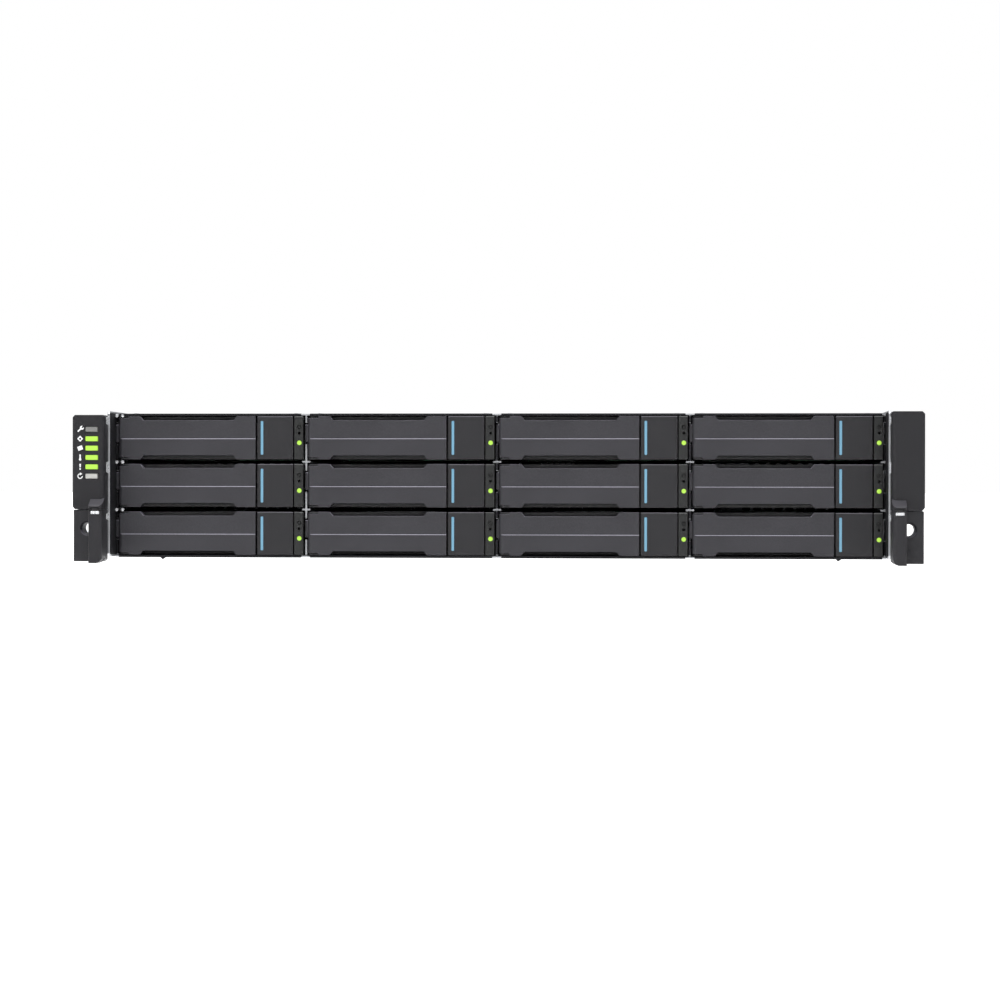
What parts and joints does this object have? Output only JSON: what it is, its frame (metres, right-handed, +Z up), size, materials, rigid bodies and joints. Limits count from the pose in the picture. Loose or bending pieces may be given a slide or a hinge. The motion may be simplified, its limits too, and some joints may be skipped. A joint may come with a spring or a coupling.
{
  "type": "network attached storage",
  "caption": "Two-unit rack storage array with hot-swap drive carriers, hinged levers, status lights, and rear controller canisters and power supplies.",
  "frame": {"origin": "centre of the unit's footprint, at the underside of its feet", "axes": "+X to the right seen from the front, +Y from the front to the back, +Z up"},
  "size_m": [0.4826, 0.513, 0.0872],
  "materials": {
    "bezel_black": "fine-textured moulded plastic",
    "ear_black": "fine-textured moulded plastic",
    "button_black": "fine-textured moulded plastic",
    "key_grey": "satin translucent plastic",
    "zinc_steel": "zinc-plated sheet steel",
    "drive_alloy": "cast and machined alloy",
    "board_green": "circuit board with solder mask",
    "lens_green": "lit light pipe",
    "mark_blue": "light blue inlay",
    "fan_black": "moulded glass-filled plastic",
    "handle_black": "moulded plastic",
    "latch_blue": "moulded plastic",
    "contact_brass": "plated contacts",
    "ink_white": "printed icons"
  },
  "bodies": {
    "chassis": {"chassis_base": "zinc_steel", "drive_cage": "zinc_steel", "midplane": "board_green", "rack_bracket_left": "zinc_steel", "rack_bracket_right": "zinc_steel", "ear_housing_left": "ear_black", "ear_housing_right": "ear_black", "ear_cover_left": "ear_black", "ear_cover_right": "ear_black", "status_board": "lens_green"},
    "top_cover": {"top_cover": "zinc_steel"},
    "service_button": {"service_button": "key_grey"},
    "controller_upper": {"controller_upper": "zinc_steel"},
    "controller_ejector_upper": {"controller_ejector_upper": "handle_black"},
    "controller_lower": {"controller_lower": "zinc_steel"},
    "controller_ejector_lower": {"controller_ejector_lower": "handle_black"},
    "power_supply_left": {"power_supply_left": "zinc_steel"},
    "fan_rotor_left": {"fan_rotor_left": "fan_black"},
    "supply_latch_left": {"supply_latch_left": "latch_blue"},
    "supply_bail_left": {"supply_bail_left": "zinc_steel"},
    "power_supply_right": {"power_supply_right": "zinc_steel"},
    "fan_rotor_right": {"fan_rotor_right": "fan_black"},
    "supply_latch_right": {"supply_latch_right": "latch_blue"},
    "supply_bail_right": {"supply_bail_right": "zinc_steel"},
    "drive_module_01": {"drive_module_01": "drive_alloy"},
    "carrier_lever_01": {"carrier_lever_01": "bezel_black"},
    "release_button_01": {"release_button_01": "button_black"},
    "drive_module_02": {"drive_module_02": "drive_alloy"},
    "carrier_lever_02": {"carrier_lever_02": "bezel_black"},
    "release_button_02": {"release_button_02": "button_black"},
    "drive_module_03": {"drive_module_03": "drive_alloy"},
    "carrier_lever_03": {"carrier_lever_03": "bezel_black"},
    "release_button_03": {"release_button_03": "button_black"},
    "drive_module_04": {"drive_module_04": "drive_alloy"},
    "carrier_lever_04": {"carrier_lever_04": "bezel_black"},
    "release_button_04": {"release_button_04": "button_black"},
    "drive_module_05": {"drive_module_05": "drive_alloy"},
    "carrier_lever_05": {"carrier_lever_05": "bezel_black"},
    "release_button_05": {"release_button_05": "button_black"},
    "drive_module_06": {"drive_module_06": "drive_alloy"},
    "carrier_lever_06": {"carrier_lever_06": "bezel_black"},
    "release_button_06": {"release_button_06": "button_black"},
    "drive_module_07": {"drive_module_07": "drive_alloy"},
    "carrier_lever_07": {"carrier_lever_07": "bezel_black"},
    "release_button_07": {"release_button_07": "button_black"},
    "drive_module_08": {"drive_module_08": "drive_alloy"},
    "carrier_lever_08": {"carrier_lever_08": "bezel_black"},
    "release_button_08": {"release_button_08": "button_black"},
    "drive_module_09": {"drive_module_09": "drive_alloy"},
    "carrier_lever_09": {"carrier_lever_09": "bezel_black"},
    "release_button_09": {"release_button_09": "button_black"},
    "drive_module_10": {"drive_module_10": "drive_alloy"},
    "carrier_lever_10": {"carrier_lever_10": "bezel_black"},
    "release_button_10": {"release_button_10": "button_black"},
    "drive_module_11": {"drive_module_11": "drive_alloy"},
    "carrier_lever_11": {"carrier_lever_11": "bezel_black"},
    "release_button_11": {"release_button_11": "button_black"},
    "drive_module_12": {"drive_module_12": "drive_alloy"},
    "carrier_lever_12": {"carrier_lever_12": "bezel_black"},
    "release_button_12": {"release_button_12": "button_black"}
  },
  "joints": [
    {"name": "top_cover_slide", "type": "slide", "parent": "chassis", "child": "top_cover", "axis": [0, 1, 0], "range_m": [0, 0.02]},
    {"name": "service_button_press", "type": "slide", "parent": "chassis", "child": "service_button", "axis": [0, 1, 0], "range_m": [0, 0.0012], "stiffness_N_per_m": 300, "springref_m": -0.0005},
    {"name": "controller_upper_slide", "type": "slide", "parent": "chassis", "child": "controller_upper", "axis": [0, 1, 0], "range_m": [0, 0.26]},
    {"name": "controller_ejector_upper_pull", "type": "hinge", "parent": "controller_upper", "child": "controller_ejector_upper", "pos_m": [0.126, 0.2539, 0.0539], "axis": [0, 0, -1], "range_deg": [0, 75]},
    {"name": "controller_lower_slide", "type": "slide", "parent": "chassis", "child": "controller_lower", "axis": [0, 1, 0], "range_m": [0, 0.26]},
    {"name": "controller_ejector_lower_pull", "type": "hinge", "parent": "controller_lower", "child": "controller_ejector_lower", "pos_m": [0.126, 0.2539, 0.0129], "axis": [0, 0, -1], "range_deg": [0, 75]},
    {"name": "power_supply_left_slide", "type": "slide", "parent": "chassis", "child": "power_supply_left", "axis": [0, 1, 0], "range_m": [0, 0.26]},
    {"name": "fan_rotor_left_spin", "type": "hinge", "parent": "power_supply_left", "child": "fan_rotor_left", "pos_m": [-0.1925, 0.246, 0.056], "axis": [0, 1, 0], "continuous": true},
    {"name": "supply_latch_left_push", "type": "slide", "parent": "power_supply_left", "child": "supply_latch_left", "axis": [-1, 0, 0], "range_m": [0, 0.004], "stiffness_N_per_m": 500, "springref_m": -0.001},
    {"name": "supply_bail_left_swing", "type": "hinge", "parent": "power_supply_left", "child": "supply_bail_left", "pos_m": [-0.1775, 0.2541, 0.027], "axis": [1, 0, 0], "range_deg": [0, 110]},
    {"name": "power_supply_right_slide", "type": "slide", "parent": "chassis", "child": "power_supply_right", "axis": [0, 1, 0], "range_m": [0, 0.26]},
    {"name": "fan_rotor_right_spin", "type": "hinge", "parent": "power_supply_right", "child": "fan_rotor_right", "pos_m": [0.1625, 0.246, 0.056], "axis": [0, 1, 0], "continuous": true},
    {"name": "supply_latch_right_push", "type": "slide", "parent": "power_supply_right", "child": "supply_latch_right", "axis": [-1, 0, 0], "range_m": [0, 0.004], "stiffness_N_per_m": 500, "springref_m": -0.001},
    {"name": "supply_bail_right_swing", "type": "hinge", "parent": "power_supply_right", "child": "supply_bail_right", "pos_m": [0.1775, 0.2541, 0.027], "axis": [1, 0, 0], "range_deg": [0, 110]},
    {"name": "drive_module_01_slide", "type": "slide", "parent": "chassis", "child": "drive_module_01", "axis": [0, -1, 0], "range_m": [0, 0.185]},
    {"name": "carrier_lever_01_swing", "type": "hinge", "parent": "drive_module_01", "child": "carrier_lever_01", "pos_m": [-0.21725, -0.2253, 0.07209], "axis": [0, 0, -1], "range_deg": [0, 65]},
    {"name": "release_button_01_press", "type": "slide", "parent": "drive_module_01", "child": "release_button_01", "axis": [0, 1, 0], "range_m": [0, 0.0025], "stiffness_N_per_m": 400, "springref_m": -0.001},
    {"name": "drive_module_02_slide", "type": "slide", "parent": "chassis", "child": "drive_module_02", "axis": [0, -1, 0], "range_m": [0, 0.185]},
    {"name": "carrier_lever_02_swing", "type": "hinge", "parent": "drive_module_02", "child": "carrier_lever_02", "pos_m": [-0.1067, -0.2253, 0.07209], "axis": [0, 0, -1], "range_deg": [0, 65]},
    {"name": "release_button_02_press", "type": "slide", "parent": "drive_module_02", "child": "release_button_02", "axis": [0, 1, 0], "range_m": [0, 0.0025], "stiffness_N_per_m": 400, "springref_m": -0.001},
    {"name": "drive_module_03_slide", "type": "slide", "parent": "chassis", "child": "drive_module_03", "axis": [0, -1, 0], "range_m": [0, 0.185]},
    {"name": "carrier_lever_03_swing", "type": "hinge", "parent": "drive_module_03", "child": "carrier_lever_03", "pos_m": [0.00385, -0.2253, 0.07209], "axis": [0, 0, -1], "range_deg": [0, 65]},
    {"name": "release_button_03_press", "type": "slide", "parent": "drive_module_03", "child": "release_button_03", "axis": [0, 1, 0], "range_m": [0, 0.0025], "stiffness_N_per_m": 400, "springref_m": -0.001},
    {"name": "drive_module_04_slide", "type": "slide", "parent": "chassis", "child": "drive_module_04", "axis": [0, -1, 0], "range_m": [0, 0.185]},
    {"name": "carrier_lever_04_swing", "type": "hinge", "parent": "drive_module_04", "child": "carrier_lever_04", "pos_m": [0.1144, -0.2253, 0.07209], "axis": [0, 0, -1], "range_deg": [0, 65]},
    {"name": "release_button_04_press", "type": "slide", "parent": "drive_module_04", "child": "release_button_04", "axis": [0, 1, 0], "range_m": [0, 0.0025], "stiffness_N_per_m": 400, "springref_m": -0.001},
    {"name": "drive_module_05_slide", "type": "slide", "parent": "chassis", "child": "drive_module_05", "axis": [0, -1, 0], "range_m": [0, 0.185]},
    {"name": "carrier_lever_05_swing", "type": "hinge", "parent": "drive_module_05", "child": "carrier_lever_05", "pos_m": [-0.21725, -0.2253, 0.04453], "axis": [0, 0, -1], "range_deg": [0, 65]},
    {"name": "release_button_05_press", "type": "slide", "parent": "drive_module_05", "child": "release_button_05", "axis": [0, 1, 0], "range_m": [0, 0.0025], "stiffness_N_per_m": 400, "springref_m": -0.001},
    {"name": "drive_module_06_slide", "type": "slide", "parent": "chassis", "child": "drive_module_06", "axis": [0, -1, 0], "range_m": [0, 0.185]},
    {"name": "carrier_lever_06_swing", "type": "hinge", "parent": "drive_module_06", "child": "carrier_lever_06", "pos_m": [-0.1067, -0.2253, 0.04453], "axis": [0, 0, -1], "range_deg": [0, 65]},
    {"name": "release_button_06_press", "type": "slide", "parent": "drive_module_06", "child": "release_button_06", "axis": [0, 1, 0], "range_m": [0, 0.0025], "stiffness_N_per_m": 400, "springref_m": -0.001},
    {"name": "drive_module_07_slide", "type": "slide", "parent": "chassis", "child": "drive_module_07", "axis": [0, -1, 0], "range_m": [0, 0.185]},
    {"name": "carrier_lever_07_swing", "type": "hinge", "parent": "drive_module_07", "child": "carrier_lever_07", "pos_m": [0.00385, -0.2253, 0.04453], "axis": [0, 0, -1], "range_deg": [0, 65]},
    {"name": "release_button_07_press", "type": "slide", "parent": "drive_module_07", "child": "release_button_07", "axis": [0, 1, 0], "range_m": [0, 0.0025], "stiffness_N_per_m": 400, "springref_m": -0.001},
    {"name": "drive_module_08_slide", "type": "slide", "parent": "chassis", "child": "drive_module_08", "axis": [0, -1, 0], "range_m": [0, 0.185]},
    {"name": "carrier_lever_08_swing", "type": "hinge", "parent": "drive_module_08", "child": "carrier_lever_08", "pos_m": [0.1144, -0.2253, 0.04453], "axis": [0, 0, -1], "range_deg": [0, 65]},
    {"name": "release_button_08_press", "type": "slide", "parent": "drive_module_08", "child": "release_button_08", "axis": [0, 1, 0], "range_m": [0, 0.0025], "stiffness_N_per_m": 400, "springref_m": -0.001},
    {"name": "drive_module_09_slide", "type": "slide", "parent": "chassis", "child": "drive_module_09", "axis": [0, -1, 0], "range_m": [0, 0.185]},
    {"name": "carrier_lever_09_swing", "type": "hinge", "parent": "drive_module_09", "child": "carrier_lever_09", "pos_m": [-0.21725, -0.2253, 0.01698], "axis": [0, 0, -1], "range_deg": [0, 65]},
    {"name": "release_button_09_press", "type": "slide", "parent": "drive_module_09", "child": "release_button_09", "axis": [0, 1, 0], "range_m": [0, 0.0025], "stiffness_N_per_m": 400, "springref_m": -0.001},
    {"name": "drive_module_10_slide", "type": "slide", "parent": "chassis", "child": "drive_module_10", "axis": [0, -1, 0], "range_m": [0, 0.185]},
    {"name": "carrier_lever_10_swing", "type": "hinge", "parent": "drive_module_10", "child": "carrier_lever_10", "pos_m": [-0.1067, -0.2253, 0.01698], "axis": [0, 0, -1], "range_deg": [0, 65]},
    {"name": "release_button_10_press", "type": "slide", "parent": "drive_module_10", "child": "release_button_10", "axis": [0, 1, 0], "range_m": [0, 0.0025], "stiffness_N_per_m": 400, "springref_m": -0.001},
    {"name": "drive_module_11_slide", "type": "slide", "parent": "chassis", "child": "drive_module_11", "axis": [0, -1, 0], "range_m": [0, 0.185]},
    {"name": "carrier_lever_11_swing", "type": "hinge", "parent": "drive_module_11", "child": "carrier_lever_11", "pos_m": [0.00385, -0.2253, 0.01698], "axis": [0, 0, -1], "range_deg": [0, 65]},
    {"name": "release_button_11_press", "type": "slide", "parent": "drive_module_11", "child": "release_button_11", "axis": [0, 1, 0], "range_m": [0, 0.0025], "stiffness_N_per_m": 400, "springref_m": -0.001},
    {"name": "drive_module_12_slide", "type": "slide", "parent": "chassis", "child": "drive_module_12", "axis": [0, -1, 0], "range_m": [0, 0.185]},
    {"name": "carrier_lever_12_swing", "type": "hinge", "parent": "drive_module_12", "child": "carrier_lever_12", "pos_m": [0.1144, -0.2253, 0.01698], "axis": [0, 0, -1], "range_deg": [0, 65]},
    {"name": "release_button_12_press", "type": "slide", "parent": "drive_module_12", "child": "release_button_12", "axis": [0, 1, 0], "range_m": [0, 0.0025], "stiffness_N_per_m": 400, "springref_m": -0.001}
  ]
}
